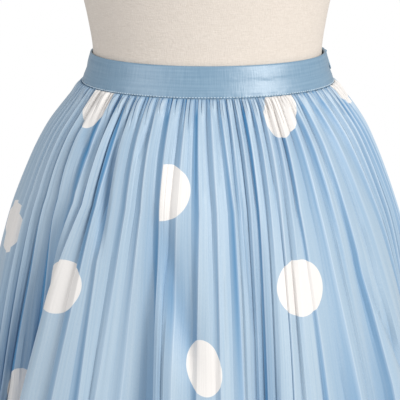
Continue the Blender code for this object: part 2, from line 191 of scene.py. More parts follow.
# Small creases in the pressed cloth: soft troughs between two places, in degrees and drops.
Crease = namedtuple("Crease", "bearing drop to_bearing to_drop half_width depth")
CREASES = (
    Crease(-51, 0.012, -49, 0.090, 0.0035, 0.0040),
    Crease(-60, 0.022, -51, 0.060, 0.0045, 0.0022),
    Crease(-64, 0.110, -69, 0.620, 0.0300, 0.0060),
    Crease(-57, 0.120, -61, 0.620, 0.0150, 0.0120),
    Crease(-42, 0.008, -36, 0.150, 0.0050, 0.0080),
    Crease(-27, 0.015, -29, 0.060, 0.0030, 0.0026),
    Crease(-17, 0.095, -2, 0.270, 0.0140, 0.0090),
    Crease(-7, 0.110, -4, 0.250, 0.0060, 0.0030),
    Crease(12, 0.025, 15, 0.220, 0.0040, 0.0040),
    Crease(52, 0.150, 63, 0.300, 0.0050, 0.0045),
    Crease(-100, 0.020, -96, 0.090, 0.0040, 0.0036),
    Crease(118, 0.030, 116, 0.120, 0.0035, 0.0034),
    Crease(150, 0.016, 154, 0.070, 0.0035, 0.0032),
    Crease(-165, 0.040, -161, 0.150, 0.0045, 0.0040),
    Crease(-130, 0.160, -133, 0.340, 0.0055, 0.0045),
)

# One panel of cloth, cut as a sector of a ring, pleated from one seam to the other
Panel = namedtuple("Panel", "name node start turn pleats seed top_cut hem_cut")
FRONT_TURN = -(math.pi + 2 * SEAM_BEHIND_SIDE)
BACK_TURN = -FULL_TURN - FRONT_TURN
PANELS = (
    Panel("satin_front", "skirt_front", SEAM_BEHIND_SIDE, FRONT_TURN, 44, 11, 0.60, 1.64),
    Panel("satin_back", "skirt_back", SEAM_BEHIND_SIDE + FRONT_TURN, BACK_TURN, 32, 23, 0.45, 1.15),
)

# Front crests that keep to a bearing at each of PIN_DROPS. A bend moves the third place off
# the middle between the second and the last.
Pin = namedtuple("Pin", "pleat top middle low bend", defaults=(0.0,))
PIN_DROPS = (0.008, 0.100, 0.190, 0.280)
PINS = (
    Pin(9, 62.9, 65.8, 73.0),
    Pin(11, 50.8, 51.5, 54.4),
    Pin(13, 41.2, 41.0, 43.0),
    Pin(14, 35.8, 33.8, 33.8),
    Pin(16, 28.8, 26.8, 23.3),
    Pin(18, 19.8, 19.3, 17.1),
    Pin(21, 7.4, 10.0, 10.0),
    Pin(22, 2.2, 3.8, 3.8),
    Pin(23, -4.1, -2.6, -2.7),
    Pin(24, -10.4, -10.7, -9.5),
    Pin(25, -18.2, -17.2, -14.4),
    Pin(26, -25.9, -24.1, -24.9),
    Pin(27, -31.4, -29.5, -31.1),
    Pin(28, -38.4, -36.7, -35.1),
    Pin(29, -42.2, -40.7, -42.0),
    Pin(30, -46.6, -45.8, -52.0, -2.4),
    Pin(31, -52.0, -49.5, -56.5, -1.5),
    Pin(32, -59.8, -57.0, -62.0),
    Pin(35, -73.9, -70.9, -70.0),
)

# Front pleats that lie almost flat lower down unless they are pinned: the first and the last.
# So does a FLAT_SHARE of the other pleats, outside the bundle.
OPEN_PLEATS = (9, 23)
FLATTENED = 0.85
FLAT_SHARE = 0.45
PINNED_FLAT = 0.14
PINNED_DEPTH = 0.80

# Front pleats of the deep bundle, whose short faces get more painted shade: the first and the one
# after the last. The pleats before the open ones face the key light and get less painted shade.
BUNDLE = (30, 37)
BUNDLE_DEPTH = 1.5
BUNDLE_PAINTED_SHADE = 1.9
LIT_SIDE_PAINTED_SHADE = 0.75

# Differences from pleat to pleat, drawn between two shares of the plain value, or to both sides
# of zero where there is one number. CREASE_SPREAD moves only the points of a section whose
# depth lies inside CREASED_FACE.
WIDTH_SPREAD = (0.88, 1.14)
OPEN_WIDTH_SPREAD = (0.55, 1.60)
DEPTH_SPREAD = (0.70, 1.10)
# Spread of the shade painted on each pleat's short faces
PAINTED_SHADE_SPREAD = (0.55, 1.40)
PUCKER_SPREAD = (0.30, 1.25)
PUFF_SPREAD = (0.35, 1.15)
TUCK_SPREAD = (0.3, 1.7)
CREASE_SPREAD = 0.10
CREASED_FACE = (0.1, 0.9)
TONE_SPREAD = 0.07

# How a pleat changes down the skirt: it opens until OPEN_DROP, and its crest and depth sway
OPEN_DROP = 0.24
BY_LENGTH = 0.35
CREST_TURN = 0.05
CREST_WANDER = 0.03
WAVE_LENGTH = (0.16, 0.42)
SWAY_LENGTH = 0.3
SWAY_DEPTH = 0.12
SWAY_TONE = 0.25
SHUT_FLATTENS = 0.35
# The highlight painted on the crests fades by this share where the pleats open
OPEN_HIGHLIGHT_FADE = 0.35

# The cloth's wall, what each crest hides of its width, and how finely its line is followed
CLOTH_WALL = 0.0008
TUCK = 0.0006
LINE_STEPS = 24
TANGENT_REACH = 0.003
SHARP_ANGLE = math.radians(24)

# Gathers and small puffs right under the band. A highlight is painted on each puff, more shade is
# painted on the short faces beside it, and shade is painted in the notches under the band.
GATHER_LENGTH = (0.010, 0.034)
PUFF_DEPTH = 0.0030
PUFF_PEAK = (0.0035, 0.0080)
PUFF_PAINTED_HIGHLIGHT = 0.75
PINCH_PAINTED_SHADE = 1.1
NOTCH_PAINTED_SHADE = 1.5
NOTCH_FALL = 4

# Shade painted on the closed cloth: on short faces, on the cloth near the band, in large folds and in
# creases
SHORT_PAINTED_SHADE = 0.48
LONG_PAINTED_SHADE = 0.15
FOLD_PAINTED_SHADE = 0.50
CREASE_PAINTED_SHADE = 45.0
SHADE_ALONG = 0.5
TONE_BLUR = 0.55
STREAK_WIDTH = 0.020

# Printed dots. Those in the picture are placed at a bearing and a drop; the others stand
# in staggered rows. A spread over 1 is a dot on pleats that lie more open than the rest, and
# lean turns a dot's axis away from the pleats.
DOT_RADIUS = 0.0275
Dot = namedtuple("Dot", "bearing drop spread lean", defaults=(0.0,))
FRONT_DOTS = (
    Dot(-58.5, 0.011, 0.60),
    Dot(37.4, 0.013, 0.70, 0.40),
    Dot(-16.5, 0.082, 0.98),
    Dot(-79.5, 0.144, 1.00),
    Dot(-48.0, 0.179, 1.05),
    Dot(29.6, 0.172, 0.94),
    Dot(-1.0, 0.240, 0.66, -0.22),
    Dot(-64.5, 0.306, 0.62),
    Dot(85.0, -0.017, 0.80),
)
# Cloth hidden under one folded edge, which cuts a dot off there
Hidden = namedtuple("Hidden", "bearing drop length")
HIDDEN = (
    Hidden(-18.1, 0.082, 0.034),
)
DOT_ROWS = 10
DOT_ROW_STEP = 0.090
DOT_ROWS_UP = 0.078
DOT_STAGGER = (0.75, 0.25)
DOT_SPACING = 0.250
DOT_SPREAD = 0.9
DOT_CLEAR = 0.085
DOT_MARGIN = 1.3
PICTURE_DROP = 0.315
PICTURE_BEARING = 78


def smooth_read(rows, column, at):
    """A column's values at places, on a smooth curve through the rows."""
    xs = np.array([row.at for row in rows])
    ys = np.array([getattr(row, column) for row in rows])
    slopes = np.diff(ys) / np.diff(xs)
    before = np.concatenate((slopes[:1], slopes))
    after = np.concatenate((slopes, slopes[-1:]))
    tangents = np.where(before * after < 0, 0.0, (before + after) / 2)
    at = np.clip(at, xs[0], xs[-1])
    i = np.clip(np.searchsorted(xs, at, side="left") - 1, 0, len(slopes) - 1)
    span = xs[i + 1] - xs[i]
    t = (at - xs[i]) / span
    return (
        (2 * t**3 - 3 * t**2 + 1) * ys[i]
        + (t**3 - 2 * t**2 + t) * span * tangents[i]
        + (3 * t**2 - 2 * t**3) * ys[i + 1]
        + (t**3 - t**2) * span * tangents[i + 1]
    )


def reaches(rows, at):
    return [smooth_read(rows, side, at) for side in ("left", "right", "front", "back")]


def oval(angle, left, right, front, back):
    """Points of an oval with four reaches; angle 0 is +X and a quarter turn is the back, +Y."""
    x = np.where(np.cos(angle) > 0, right, left) * np.cos(angle)
    y = np.where(np.sin(angle) > 0, back, front) * np.sin(angle)
    return np.stack((x, y), axis=-1)


def smooth_step(t):
    t = min(1.0, max(0.0, t))
    return t * t * (3 - 2 * t)


def fold_growth(fold, drop):
    """How much of its depth at the hem a fold has at a drop: a soft start, then a steady rise."""
    t = max(0.0, drop - fold.start) / (SKIRT_DROP - fold.start)
    return FOLD_SUDDEN * smooth_step(t / FOLD_RIPE) + (1 - FOLD_SUDDEN) * t


def degrees_apart(bearing, centre):
    return (bearing - centre + 180) % 360 - 180


def fold_centre(fold, drop):
    return fold.bearing + fold.lean * min(1.0, drop / LEAN_DROP)


def fold_depth(bearing, drop):
    total = np.zeros_like(bearing)
    for fold in FOLDS:
        away = degrees_apart(bearing, fold_centre(fold, drop))
        width = np.where(away < 0, fold.before, fold.after)
        total += fold.depth * fold_growth(fold, drop) * np.exp(-((away / width) ** 2))
    return total


def fold_shade(bearing, drop):
    """How closed the cloth is: 1 on the steep side of a large fold, 0 on open cloth; it sets the shade
    painted there.
    """
    total = np.zeros_like(bearing)
    for fold in FOLDS:
        away = degrees_apart(bearing, fold_centre(fold, drop) + SHADE_ALONG * fold.after)
        shut = min(1.0, fold.depth * fold_growth(fold, drop) / SHUT_DEPTH)
        total += shut * np.exp(-((away / fold.after) ** 2))
    return np.minimum(total, 1.0)


def crease_depth(bearing, drop, reach):
    """Depth of the small creases at one drop; reach turns degrees into metres."""
    total = np.zeros_like(bearing)
    for crease in CREASES:
        t = (drop - crease.drop) / (crease.to_drop - crease.drop)
        if not 0 < t < 1:
            continue
        centre = crease.bearing + (crease.to_bearing - crease.bearing) * t
        away = np.radians(degrees_apart(bearing, centre)) * reach
        total += crease.depth * math.sin(math.pi * t) * np.exp(-((away / crease.half_width) ** 2))
    return total


def bearings_of(ring):
    """Degrees from the centre front of points on a ring, positive to the wearer's left."""
    return np.degrees(np.unwrap(np.arctan2(ring[:, 0], -ring[:, 1])))


def envelope_ring(angles, drop):
    ring = oval(angles, *reaches(ENVELOPE, drop))
    reach = np.linalg.norm(ring, axis=1)
    bearing = bearings_of(ring)
    into = fold_depth(bearing, drop) + crease_depth(bearing, drop, reach)
    return ring * (1 - into / reach)[:, None]


def ring_drops():
    """Drops of the rings: close together under the band, and further apart down the skirt."""
    return np.concatenate((
        np.arange(0.0, 0.020, 0.002),
        np.arange(0.020, 0.060, 0.004),
        np.arange(0.060, 0.360, 0.010),
        np.linspace(0.360, SKIRT_DROP, 34),
    ))


def pleat_lines(panel, along, bearings, lengths, drop):
    """Shares of the line's length for shares of the panel, with the pinned crests in their places."""
    if panel.node != "skirt_front":
        return along
    known = [0.0]
    wanted = [0.0]
    for pin in PINS:
        between = (pin.middle + pin.low) / 2 + pin.bend
        bearing = np.interp(drop, PIN_DROPS, (pin.top, pin.middle, between, pin.low))
        known.append(along[pin.pleat * len(PLEAT) + CREST_COLUMN])
        wanted.append(np.interp(-bearing, -bearings, lengths) / lengths[-1])
    return np.interp(along, known + [1.0], wanted + [1.0])


def panel_grid(panel):
    """Points by ring and column, flat places across and down the cloth, painted highlights and painted
    shade.
    """
    random = np.random.default_rng(panel.seed)
    widths = random.uniform(*WIDTH_SPREAD, panel.pleats)
    open_widths = random.uniform(*OPEN_WIDTH_SPREAD, panel.pleats)
    depths = random.uniform(*DEPTH_SPREAD, panel.pleats)
    waves = random.uniform(0, FULL_TURN, (3, panel.pleats + 1))
    lengths_of_wave = random.uniform(*WAVE_LENGTH, panel.pleats + 1)
    tucks = TUCK * random.uniform(*TUCK_SPREAD, panel.pleats)
    gather_ends = random.uniform(*GATHER_LENGTH, panel.pleats)
    puff_peaks = random.uniform(*PUFF_PEAK, panel.pleats)
    puff_sizes = random.uniform(*PUFF_SPREAD, panel.pleats)
    rounded = np.maximum(0.0, np.sin(math.pi * share_of(PLEAT * panel.pleats) / CREST_SHARE))
    rounded = np.append(rounded, 0.0)
    flat = FLATTENED * (random.uniform(0, 1, panel.pleats) < FLAT_SHARE)
    if panel.node == "skirt_front":
        flat[OPEN_PLEATS[0] : OPEN_PLEATS[1] + 1] = FLATTENED
        flat[[pin.pleat for pin in PINS]] = PINNED_FLAT
        flat[BUNDLE[0] : BUNDLE[1]] = 0.0
        depths[[pin.pleat for pin in PINS]] *= PINNED_DEPTH
        depths[BUNDLE[0] : BUNDLE[1]] *= BUNDLE_DEPTH
    darks = random.uniform(*PAINTED_SHADE_SPREAD, panel.pleats)
    if panel.node == "skirt_front":
        darks[BUNDLE[0] : BUNDLE[1]] = BUNDLE_PAINTED_SHADE
        darks[: OPEN_PLEATS[0]] *= LIT_SIDE_PAINTED_SHADE
    shape = PLEAT * panel.pleats + (PLEAT[0],)
    number = np.minimum(np.arange(len(shape)) // len(PLEAT), panel.pleats - 1)
    share = share_of(shape)
    share[-1] = 1.0
    into = np.array([point.into for point in shape])
    gathered_into = np.array([point.gathered for point in shape])
    pressed = np.array([point.pressed for point in shape])
    tone = np.array([point.tone for point in shape])
    gathered_tone = np.array([point.gathered_tone for point in shape])
    own_tone = random.uniform(-TONE_SPREAD, TONE_SPREAD, len(shape))
    own_into = random.uniform(-CREASE_SPREAD, CREASE_SPREAD, len(shape))
    own_into = own_into * (into > CREASED_FACE[0]) * (into < CREASED_FACE[1])
    puckers = random.uniform(*PUCKER_SPREAD, (2, panel.pleats))
    puckered = np.where(share > CREST_SHARE, puckers[0][number], puckers[1][number])
    gathered_into = into + (gathered_into - into) * puckered
    gathered_tone = gathered_tone * puckered
    turned = np.linspace(0, 1, LINE_STEPS * panel.pleats + 1)
    dense = panel.start + panel.turn * turned
    drops = ring_drops()
    points = np.zeros((len(drops), len(shape), 3))
    smooth = np.zeros_like(points)
    painted_shades = np.zeros((len(drops), len(shape)))
    painted_highlights = np.zeros_like(painted_shades)
    for row, drop in enumerate(drops):
        line = envelope_ring(dense, drop)
        steps = np.linalg.norm(np.diff(line, axis=0), axis=1)
        lengths = np.concatenate(([0.0], np.cumsum(steps)))
        opened = smooth_step(drop / OPEN_DROP)
        here_widths = widths * (1 - opened) + open_widths * opened
        moved = np.concatenate(([0.0], np.cumsum(here_widths))) / here_widths.sum()
        crest = CREST_SHARE + CREST_TURN * opened
        crest = crest + CREST_WANDER * np.sin(waves[1] + FULL_TURN * drop / lengths_of_wave)
        crest = crest[number]
        here_share = np.where(
            share > CREST_SHARE,
            crest + (share - CREST_SHARE) * (1 - crest) / (1 - CREST_SHARE),
            share * crest / CREST_SHARE,
        )
        along = moved[number] + (moved[number + 1] - moved[number]) * here_share
        by_turn = np.interp(along, turned, lengths / lengths[-1])
        along = BY_LENGTH * along + (1 - BY_LENGTH) * by_turn
        along = pleat_lines(panel, along, bearings_of(line), lengths, drop)
        at = SEAM_GAP + (lengths[-1] - 2 * SEAM_GAP) * along

        def read(places):
            return np.stack([np.interp(places, lengths, line[:, i]) for i in (0, 1)], axis=-1)

        here = read(at)
        tangent = read(at + TANGENT_REACH) - read(at - TANGENT_REACH)
        outward = np.stack((tangent[:, 1], -tangent[:, 0]), axis=-1)
        outward /= np.linalg.norm(outward, axis=1, keepdims=True)
        outward *= np.sign((outward * here).sum(axis=1, keepdims=True))
        sway = np.sin(waves[2] + FULL_TURN * drop / SWAY_LENGTH)[:-1]
        shade = fold_shade(bearings_of(here), drop)
        flattened = 1 - flat[number] * opened * (1 - shade)
        depth = smooth_read(PLEAT_DEPTH, "depth", drop) * (depths * (1 + SWAY_DEPTH * sway))[number]
        depth = depth * (1 - SHUT_FLATTENS * shade) * flattened
        gather = np.maximum(0.0, 1 - drop / gather_ends)[number]
        section = (into + own_into * sway[number]) * (1 - gather) + gathered_into * gather
        puff = (puff_sizes * drop / puff_peaks * np.exp(1 - drop / puff_peaks))[number]
        z = BAND_BOTTOM - SEAM_GAP - drop
        points[row, :, :2] = here - outward * (depth * section - PUFF_DEPTH * puff * rounded)[:, None]
        points[row, :, 2] = z
        smooth[row, :, :2] = here
        smooth[row, :, 2] = z
        # Painted shade: on short faces, in the notches under the band, on the cloth near the band, in
        # large folds and in creases
        short = SHORT_PAINTED_SHADE * (darks * (1 + SWAY_TONE * sway))[number] * flattened
        notch = gather**NOTCH_FALL
        painted_shades[row] = short * tone * (1 - gather) * (1 + PINCH_PAINTED_SHADE * puff) + NOTCH_PAINTED_SHADE * gathered_tone * notch
        reach = np.linalg.norm(here, axis=1)
        painted_shades[row] += LONG_PAINTED_SHADE * (1 - opened) + own_tone * (1 + sway[number]) / 2 + FOLD_PAINTED_SHADE * shade
        painted_shades[row] += CREASE_PAINTED_SHADE * crease_depth(bearings_of(here), drop, reach)
        # Painted highlight along the crests and on the puffs under the band
        painted_highlights[row] = pressed * (1 - OPEN_HIGHLIGHT_FADE * opened) * flattened + PUFF_PAINTED_HIGHLIGHT * puff * rounded
    across = np.linalg.norm(np.diff(smooth, axis=1), axis=2)
    for hidden in HIDDEN:
        spot = column_at(smooth, hidden.bearing, hidden.drop)
        if 1 < spot < len(shape) - 2:
            tucks[round((spot - CREST_COLUMN) / len(PLEAT))] += hidden.length
    across[:, CREST_COLUMN :: len(PLEAT)] += tucks
    across = np.concatenate((np.zeros((len(drops), 1)), np.cumsum(across, axis=1)), axis=1)
    down = np.linalg.norm(np.diff(smooth, axis=0), axis=2)
    down = np.concatenate((np.zeros((1, len(shape))), np.cumsum(down, axis=0)), axis=0)
    place = np.tile((number + share) * STREAK_WIDTH, (len(drops), 1))
    return points, smooth, across, down, place, painted_highlights, np.clip(painted_shades[:, :-1], 0, 1)


def share_of(shape):
    return np.array([point.share for point in shape])


def lattice_dots(panel, across, smooth):
    """Staggered rows of dots on a panel, more of them in a row as the cloth widens."""
    drops = ring_drops()
    dots = []
    for row in range(1, DOT_ROWS + 1):
        drop = row * DOT_ROW_STEP - DOT_ROWS_UP
        if drop > SKIRT_DROP:
            break
        width = np.interp(drop, drops, across[:, -1])
        count = max(1, round(width / DOT_SPACING))
        ring = np.argmin(abs(drops - drop))
        for n in range(count):
            share = (n + DOT_STAGGER[row % 2]) / count
            column = np.interp(share * width, across[ring], range(across.shape[1]))
            spot = smooth[ring, round(column)]
            bearing = math.degrees(math.atan2(spot[0], -spot[1]))
            shown = abs(bearing) < PICTURE_BEARING and drop < PICTURE_DROP
            pictured = panel.node == "skirt_front" and shown
            if not pictured and not close_to_placed(panel, bearing, drop, math.hypot(*spot[:2])):
                dots.append(Dot(bearing, drop, DOT_SPREAD))
    return dots


def close_to_placed(panel, bearing, drop, reach):
    if panel.node != "skirt_front":
        return False
    gaps = [
        math.hypot(math.radians(degrees_apart(bearing, dot.bearing)) * reach, drop - dot.drop)
        for dot in FRONT_DOTS
    ]
    return min(gaps) < DOT_CLEAR


def column_at(smooth, bearing, drop):
    """The column place, with its fraction, at a bearing and a drop."""
    row = np.argmin(abs(ring_drops() - drop))
    here = np.degrees(np.arctan2(smooth[row, :, 0], -smooth[row, :, 1]))
    away = degrees_apart(here, bearing)
    order = np.argsort(away)
    return np.interp(0.0, away[order], order)


def dot_offsets(across, down, smooth, dots, quads):
    """For each face corner, its flat distance across and down from the face's own dot."""
    drops = ring_drops()
    rows, columns = across.shape
    offsets = np.full((len(quads), 4, 3), 1.0)
    for dot in dots:
        column = column_at(smooth, dot.bearing, dot.drop)
        whole = min(int(column), columns - 2)
        part = column - whole
        centre = across[:, whole] * (1 - part) + across[:, whole + 1] * part
        depth = np.interp(dot.drop, drops, down[:, whole])
        below = down - depth
        beside = (across - centre[:, None]) / dot.spread - dot.lean * below
        corners = np.stack((beside, below), axis=-1).reshape(-1, 2)[quads]
        near = np.linalg.norm(corners, axis=2).min(axis=1) < DOT_MARGIN * DOT_RADIUS
        offsets[near, :, :2] = corners[near]
        offsets[near, :, 2] = 0.0
    return offsets


def painted_shade_by_corner(shades):
    """Each face's painted shade at its corners, drawn some way towards the faces beside it."""
    beside = np.pad(shades, ((0, 0), (1, 1)), mode="edge")
    left = shades + TONE_BLUR * (beside[:, :-2] - shades) / 2
    right = shades + TONE_BLUR * (beside[:, 2:] - shades) / 2
    return np.stack((left[:-1], left[1:], right[1:], right[:-1]), axis=-1)


def link(made):
    bpy.context.scene.collection.objects.link(made)
    return made


def grid_object(name, points, finish, closed=False):
    """A sheet of four-sided faces from points by ring and column; returns it and its faces."""
    rows, columns = points.shape[:2]
    index = np.arange(rows * columns).reshape(rows, columns)
    if closed:
        index = np.concatenate((index, index[:, :1]), axis=1)
    corners = (index[:-1, :-1], index[1:, :-1], index[1:, 1:], index[:-1, 1:])
    quads = np.stack(corners, axis=-1).reshape(-1, 4)
    mesh = bpy.data.meshes.new(name)
    mesh.vertices.add(rows * columns)
    mesh.vertices.foreach_set("co", points.reshape(-1))
    mesh.loops.add(quads.size)
    mesh.loops.foreach_set("vertex_index", quads.reshape(-1))
    mesh.polygons.add(len(quads))
    mesh.polygons.foreach_set("loop_start", np.arange(0, quads.size, 4))
    mesh.update(calc_edges=True)
    mesh.shade_smooth()
    mesh.materials.append(finish)
    return link(bpy.data.objects.new(name, mesh)), quads


def add_uv(mesh, quads, across, down):
    layer = mesh.uv_layers.new(name="cloth")
    places = np.stack((across, down), axis=-1).reshape(-1, 2)
    layer.data.foreach_set("uv", places[quads.reshape(-1)].reshape(-1))


def add_wall(made, thickness):
    wall = made.modifiers.new("wall", "SOLIDIFY")
    wall.thickness = thickness
    wall.offset = -1.0
    wall.use_rim = True


def ride_for(made, node, body=ROOT):
    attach(made, body)
    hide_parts(node)


class Shader:
    """A material being wired: nodes are made by type, with their sockets set by name."""

    def __init__(self, name, colour, roughness, metallic=0.0):
        self.made = bpy.data.materials.new(name)
        self.made.use_nodes = True
        self.tree = self.made.node_tree
        self.surface = self.tree.nodes["Principled BSDF"]
        self.surface.inputs["Base Color"].default_value = (*colour, 1.0)
        self.surface.inputs["Roughness"].default_value = roughness
        self.surface.inputs["Metallic"].default_value = metallic

    def add(self, kind, settings=None, **sockets):
        node = self.tree.nodes.new(kind)
        for key, value in (settings or {}).items():
            setattr(node, key, value)
        for key, value in sockets.items():
            self.feed(node, key.replace("_", " "), value)
        return node

    def feed(self, node, key, value):
        socket = node.inputs[int(key)] if key.isdigit() else node.inputs[key]
        if isinstance(value, bpy.types.NodeSocket):
            self.tree.links.new(value, socket)
        else:
            socket.default_value = value

    def maths(self, operation, first, second, clamp=False):
        node = self.add("ShaderNodeMath", {"operation": operation, "use_clamp": clamp})
        self.feed(node, "0", first)
        self.feed(node, "1", second)
        return node.outputs[0]

    def mix(self, factor, first, second, blend="MIX"):
        node = self.add("ShaderNodeMix", {"data_type": "RGBA", "blend_type": blend})
        for socket, value in ((node.inputs[0], factor), (node.inputs[6], first), (node.inputs[7], second)):
            if isinstance(value, bpy.types.NodeSocket):
                self.tree.links.new(value, socket)
            else:
                socket.default_value = value
        return node.outputs[2]

    def noise(self, where, scale, detail=2.0):
        return self.add("ShaderNodeTexNoise", Vector=where, Scale=scale, Detail=detail).outputs["Fac"]

    def stretched(self, where, scale):
        mapping = self.add("ShaderNodeMapping", Vector=where)
        mapping.inputs["Scale"].default_value = scale
        return mapping.outputs[0]

    def bump(self, height, strength, distance, normal=None):
        node = self.add("ShaderNodeBump", Height=height, Strength=strength, Distance=distance)
        if normal is not None:
            self.feed(node, "Normal", normal)
        return node.outputs[0]

    def set(self, **sockets):
        for key, value in sockets.items():
            self.feed(self.surface, key.replace("_", " "), value)


# Colours, in linear light
SATIN = (0.255, 0.402, 0.552, 1.0)
SATIN_PALE = (0.495, 0.592, 0.672, 1.0)
# Colour that the highlight painted along the crests and on the puffs mixes towards
SATIN_PAINTED_HIGHLIGHT = (0.680, 0.770, 0.850, 1.0)
# Colour that the shade painted on closed cloth mixes towards
SATIN_PAINTED_SHADE = (0.045, 0.215, 0.440, 1.0)
DOT_CREAM = (0.800, 0.775, 0.755, 1.0)
DOT_SHADED = (0.640, 0.630, 0.620, 1.0)
BAND_DARK = (0.098, 0.203, 0.320, 1.0)
BAND_LIGHT = (0.275, 0.412, 0.535, 1.0)
LINEN_DARK = (0.55, 0.480, 0.415, 1.0)
LINEN_LIGHT = (0.90, 0.825, 0.755, 1.0)
LINEN_SLUB = (0.66, 0.60, 0.52, 1.0)

# Shares of the satin's streaks, broad bands, threads, the highlight painted on pressed edges and the shade
# painted on the dots
STREAK_SHARE = 0.75
BROAD_SHARE = 0.45
THREAD_SHARE = 0.35
PAINTED_HIGHLIGHT_SHARE = 0.60
DOT_SHADE_SHARE = 0.22
DOT_EDGE = 2500.0


def satin_material():
    """Pale blue satin with fine streaks along its pleats, painted shade, painted highlights on its crests
    and puffs, and printed dots.
    """
    satin = Shader("dotted_satin", SATIN[:3], 0.42)
    cloth = satin.add("ShaderNodeUVMap", {"uv_map": "cloth"}).outputs[0]
    streaks = satin.noise(satin.stretched(cloth, (620.0, 7.0, 1.0)), 1.0, 3.0)
    bands = satin.noise(satin.stretched(cloth, (75.0, 2.5, 1.0)), 1.0, 2.0)
    threads = satin.noise(satin.stretched(cloth, (2400.0, 420.0, 1.0)), 1.0, 1.0)
    fine = satin.maths("MULTIPLY", streaks, STREAK_SHARE)
    tone = satin.maths("ADD", fine, satin.maths("MULTIPLY", bands, BROAD_SHARE))
    grain = satin.maths("MULTIPLY", satin.maths("SUBTRACT", threads, 0.5), THREAD_SHARE)
    tone = satin.maths("ADD", tone, grain)
    body = satin.mix(tone, SATIN, SATIN_PALE)
    # Painted shade: short faces, folds, creases and the notches under the band
    closed = satin.add("ShaderNodeAttribute", {"attribute_name": "closed"}).outputs["Fac"]
    body = satin.mix(closed, body, SATIN_PAINTED_SHADE)
    # Painted highlight along the crests and on the puffs
    pressed = satin.add("ShaderNodeAttribute", {"attribute_name": "pressed"}).outputs["Fac"]
    body = satin.mix(satin.maths("MULTIPLY", pressed, PAINTED_HIGHLIGHT_SHARE), body, SATIN_PAINTED_HIGHLIGHT)
    offset = satin.add("ShaderNodeAttribute", {"attribute_name": "dot_offset"}).outputs["Vector"]
    away = satin.add("ShaderNodeVectorMath", {"operation": "LENGTH"})
    satin.feed(away, "0", offset)
    inside = satin.maths("SUBTRACT", DOT_RADIUS, away.outputs["Value"])
    inside = satin.maths("MULTIPLY", inside, DOT_EDGE, clamp=True)
    # Shade painted on the dots where the cloth is closed
    dots = satin.mix(satin.maths("MULTIPLY", closed, DOT_SHADE_SHARE), DOT_CREAM, DOT_SHADED)
    satin.set(Base_Color=satin.mix(inside, body, dots))
    satin.set(Normal=satin.bump(threads, 0.3, 0.0003, satin.bump(streaks, 0.45, 0.0009)))
    satin.set(Specular_IOR_Level=0.42, Sheen_Weight=0.12, Sheen_Roughness=0.5)
    return satin.made


def band_material():
    """The band's satin: upright ribs with faint level lines."""
    band = Shader("band_satin_face", (0.175, 0.290, 0.400), 0.37)
    cloth = band.add("ShaderNodeUVMap", {"uv_map": "cloth"}).outputs[0]
    ribs = band.noise(band.stretched(cloth, (1100.0, 50.0, 1.0)), 1.0, 2.0)
    lines = band.noise(band.stretched(cloth, (16.0, 520.0, 1.0)), 1.0, 2.0)
    soft = band.noise(band.stretched(cloth, (45.0, 120.0, 1.0)), 1.0, 2.0)
    tone = band.maths("ADD", band.maths("MULTIPLY", ribs, 0.6), band.maths("MULTIPLY", lines, 0.6))
    tone = band.maths("SUBTRACT", tone, 0.1)
    band.set(Base_Color=band.mix(tone, BAND_DARK, BAND_LIGHT))
    band.set(Normal=band.bump(ribs, 0.4, 0.0004, band.bump(soft, 0.35, 0.0015)))
    band.set(Specular_IOR_Level=0.75, Sheen_Weight=0.15, Sheen_Roughness=0.3)
    return band.made


def thread_material():
    """Pale sewing thread with a fine twist."""
    thread = Shader("blue_thread", (0.50, 0.62, 0.72), 0.5)
    where = thread.add("ShaderNodeTexCoord").outputs["Object"]
    twist = thread.noise(where, 2500.0, 2.0)
    thread.set(Base_Color=thread.mix(twist, (0.40, 0.54, 0.66, 1.0), (0.66, 0.76, 0.84, 1.0)))
    return thread.made


def linen_material():
    """Cream linen: two sets of uneven threads that cross, with darker slubs."""
    linen = Shader("linen_weave", (0.70, 0.63, 0.54), 0.92)
    where = linen.add("ShaderNodeTexCoord").outputs["Object"]
    weft = linen.noise(linen.stretched(where, (160.0, 160.0, 1500.0)), 1.0, 3.0)
    warp = linen.noise(linen.stretched(where, (1400.0, 1400.0, 120.0)), 1.0, 3.0)
    weave = linen.maths("ADD", weft, warp)
    patches = linen.noise(where, 35.0, 4.0)
    tone = linen.mix(linen.maths("MULTIPLY", weave, 0.5), LINEN_DARK, LINEN_LIGHT)
    tone = linen.mix(linen.maths("MULTIPLY", patches, 0.25), tone, LINEN_SLUB)
    linen.set(Base_Color=tone, Normal=linen.bump(weave, 0.5, 0.0006))
    linen.set(Sheen_Weight=0.1)
    return linen.made


def metal_material():
    metal = Shader("brushed_metal", (0.62, 0.62, 0.63), 0.32, 1.0)
    where = metal.add("ShaderNodeTexCoord").outputs["Object"]
    brushed = metal.noise(metal.stretched(where, (30.0, 30.0, 900.0)), 1.0, 3.0)
    metal.set(Roughness=metal.maths("ADD", metal.maths("MULTIPLY", brushed, 0.25), 0.2))
    metal.set(Normal=metal.bump(brushed, 0.12, 0.0003))
    return metal.made


def wood_material():
    wood = Shader("oiled_wood", (0.40, 0.25, 0.13), 0.42)
    where = wood.add("ShaderNodeTexCoord").outputs["Object"]
    grain = wood.noise(wood.stretched(where, (18.0, 170.0, 60.0)), 1.0, 6.0)
    wood.set(Base_Color=wood.mix(grain, (0.25, 0.135, 0.065, 1.0), (0.55, 0.36, 0.20, 1.0)))
    wood.set(Normal=wood.bump(grain, 0.15, 0.0005))
    return wood.made


def enamel_material():
    enamel = Shader("blue_enamel", (0.22, 0.35, 0.47), 0.30, 0.25)
    where = enamel.add("ShaderNodeTexCoord").outputs["Object"]
    worn = enamel.noise(where, 900.0, 3.0)
    enamel.set(Base_Color=enamel.mix(worn, (0.19, 0.31, 0.42, 1.0), (0.30, 0.43, 0.54, 1.0)))
    enamel.set(Roughness=enamel.maths("ADD", enamel.maths("MULTIPLY", worn, 0.2), 0.2))
    return enamel.made


